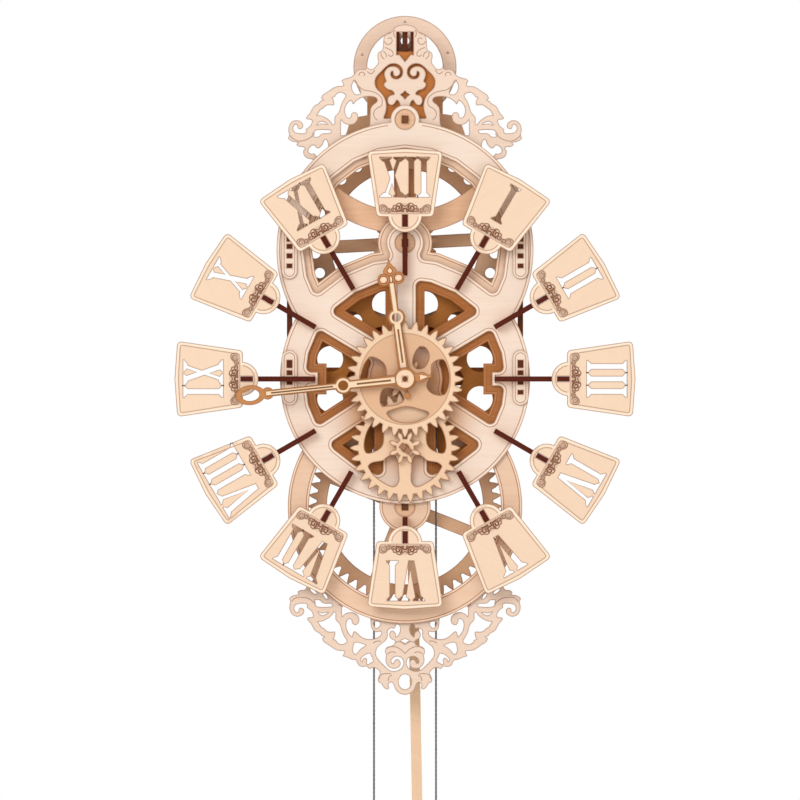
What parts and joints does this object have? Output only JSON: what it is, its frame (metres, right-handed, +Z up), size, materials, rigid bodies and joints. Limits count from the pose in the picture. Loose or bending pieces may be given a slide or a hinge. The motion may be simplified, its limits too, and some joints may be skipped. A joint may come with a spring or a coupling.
{
  "type": "wooden gear wall clock",
  "caption": "Open wooden wall clock: laser-cut plywood frame with scrollwork, gear train, hands, Roman-numeral plates on stems, pendulum and chain-hung weights.",
  "frame": {"origin": "centre of the nail hole in the ring that lies on the wall, on the wall plane", "axes": "+Y into the wall, +Z up, the dial faces -Y and +X is to the viewer's right"},
  "size_m": [0.2672, 0.0735, 0.7169],
  "materials": {
    "pale_ply": "satin, bare pale plywood",
    "frame_ply": "satin, shaded plywood",
    "wheel_ply": "satin, bare plywood",
    "stained_ply": "stained satin",
    "hand_stain": "stained satin",
    "burnt_edge": "laser-burnt edge",
    "steel": "bright drawn",
    "brass": "turned satin"
  },
  "bodies": {
    "frame": {"wall_ring": "pale_ply", "hanger_boards": "burnt_edge", "wall_spacers": "wheel_ply", "back_plate": "frame_ply", "side_boards": "burnt_edge", "inner_frame": "frame_ply", "rear_bridge": "pale_ply", "front_plate": "pale_ply", "escutcheons": "pale_ply", "crest_backing": "stained_ply", "crest_fretwork": "pale_ply", "apron_fretwork": "pale_ply", "arbor_bushes": "pale_ply", "dial_stems": "burnt_edge", "minute_stud": "steel", "chain_loop": "steel", "numeral_plate_01": "pale_ply", "numeral_plate_02": "pale_ply", "numeral_plate_03": "pale_ply", "numeral_plate_04": "pale_ply", "numeral_plate_05": "pale_ply", "numeral_plate_06": "pale_ply", "numeral_plate_07": "pale_ply", "numeral_plate_08": "pale_ply", "numeral_plate_09": "pale_ply", "numeral_plate_10": "pale_ply", "numeral_plate_11": "pale_ply", "numeral_plate_12": "pale_ply"},
    "great": {"great_wheel": "frame_ply", "great_arbor": "steel", "cannon_pinion": "wheel_ply", "minute_hand": "hand_stain", "minute_hand_inlay": "pale_ply", "hub_cap": "pale_ply"},
    "pawl": {"pawl": "wheel_ply"},
    "sprocket": {"ratchet_wheel": "wheel_ply", "chain_sprocket": "wheel_ply"},
    "third": {"third_wheel": "wheel_ply", "third_pinion": "wheel_ply"},
    "bottom": {"bottom_wheel": "wheel_ply", "bottom_pinion": "wheel_ply", "bottom_arbor": "steel"},
    "escape": {"escape_wheel": "wheel_ply", "escape_pinion": "wheel_ply", "escape_arbor": "steel"},
    "minute_works": {"minute_wheel": "pale_ply", "minute_pinion": "pale_ply"},
    "hour": {"hour_wheel": "pale_ply", "hour_pipe": "wheel_ply", "hour_hand": "hand_stain", "hour_hand_inlay": "pale_ply"},
    "pendulum": {"anchor": "wheel_ply", "anchor_arbor": "steel", "pendulum_rod": "pale_ply", "pendulum_bob": "wheel_ply", "rating_nut": "brass"},
    "weight": {"drive_weight": "brass", "chain_run_right": "steel"},
    "counter": {"counterweight": "brass", "chain_run_left": "steel"}
  },
  "joints": [
    {"name": "third_spin", "type": "hinge", "parent": "frame", "child": "third", "pos_m": [0, -0.0215, -0.197], "axis": [0, 1, 0], "range_deg": [0, 7533]},
    {"name": "great_spin", "type": "hinge", "parent": "frame", "child": "great", "pos_m": [0, -0.0315, -0.197], "axis": [0, 1, 0], "range_deg": [0, 541]},
    {"name": "sprocket_spin", "type": "hinge", "parent": "frame", "child": "sprocket", "pos_m": [0, -0.039, -0.197], "axis": [0, 1, 0], "range_deg": [0, 541]},
    {"name": "bottom_spin", "type": "hinge", "parent": "frame", "child": "bottom", "pos_m": [0, -0.0265, -0.271], "axis": [0, 1, 0], "range_deg": [-2791, 0]},
    {"name": "escape_spin", "type": "hinge", "parent": "frame", "child": "escape", "pos_m": [0, -0.0165, -0.118], "axis": [0, 1, 0], "range_deg": [-27474.3, 0]},
    {"name": "minute_works_spin", "type": "hinge", "parent": "frame", "child": "minute_works", "pos_m": [0, -0.0555, -0.237], "axis": [0, 1, 0], "range_deg": [-181, 0]},
    {"name": "hour_spin", "type": "hinge", "parent": "frame", "child": "hour", "pos_m": [0, -0.0605, -0.197], "axis": [0, 1, 0], "range_deg": [0, 46]},
    {"name": "pawl_pivot", "type": "hinge", "parent": "great", "child": "pawl", "pos_m": [0.024, -0.035, -0.181], "axis": [0, 1, 0], "range_deg": [0, 12], "stiffness_Nm_per_rad": 0.003},
    {"name": "pendulum_swing", "type": "hinge", "parent": "frame", "child": "pendulum", "pos_m": [0, -0.0055, -0.0464], "axis": [0, 1, 0], "range_deg": [-1, 3]},
    {"name": "weight_drop", "type": "slide", "parent": "frame", "child": "weight", "axis": [0, 0, -1], "range_m": [0, 0.17], "deforming": ["chain_run_right"]},
    {"name": "counter_rise", "type": "slide", "parent": "frame", "child": "counter", "axis": [0, 0, 1], "range_m": [0, 0.17], "deforming": ["chain_run_left"]}
  ],
  "couplings": [
    {"joint": "great_spin", "follows": "third_spin", "ratio": 0.071685},
    {"joint": "sprocket_spin", "follows": "third_spin", "ratio": 0.071685},
    {"joint": "bottom_spin", "follows": "third_spin", "ratio": -0.37037},
    {"joint": "escape_spin", "follows": "third_spin", "ratio": -3.6471},
    {"joint": "minute_works_spin", "follows": "third_spin", "ratio": -0.023895},
    {"joint": "hour_spin", "follows": "third_spin", "ratio": 0.0059737},
    {"joint": "weight_drop", "follows": "third_spin", "m_per_rad": 0.0012903},
    {"joint": "counter_rise", "follows": "third_spin", "m_per_rad": 0.0012903}
  ]
}
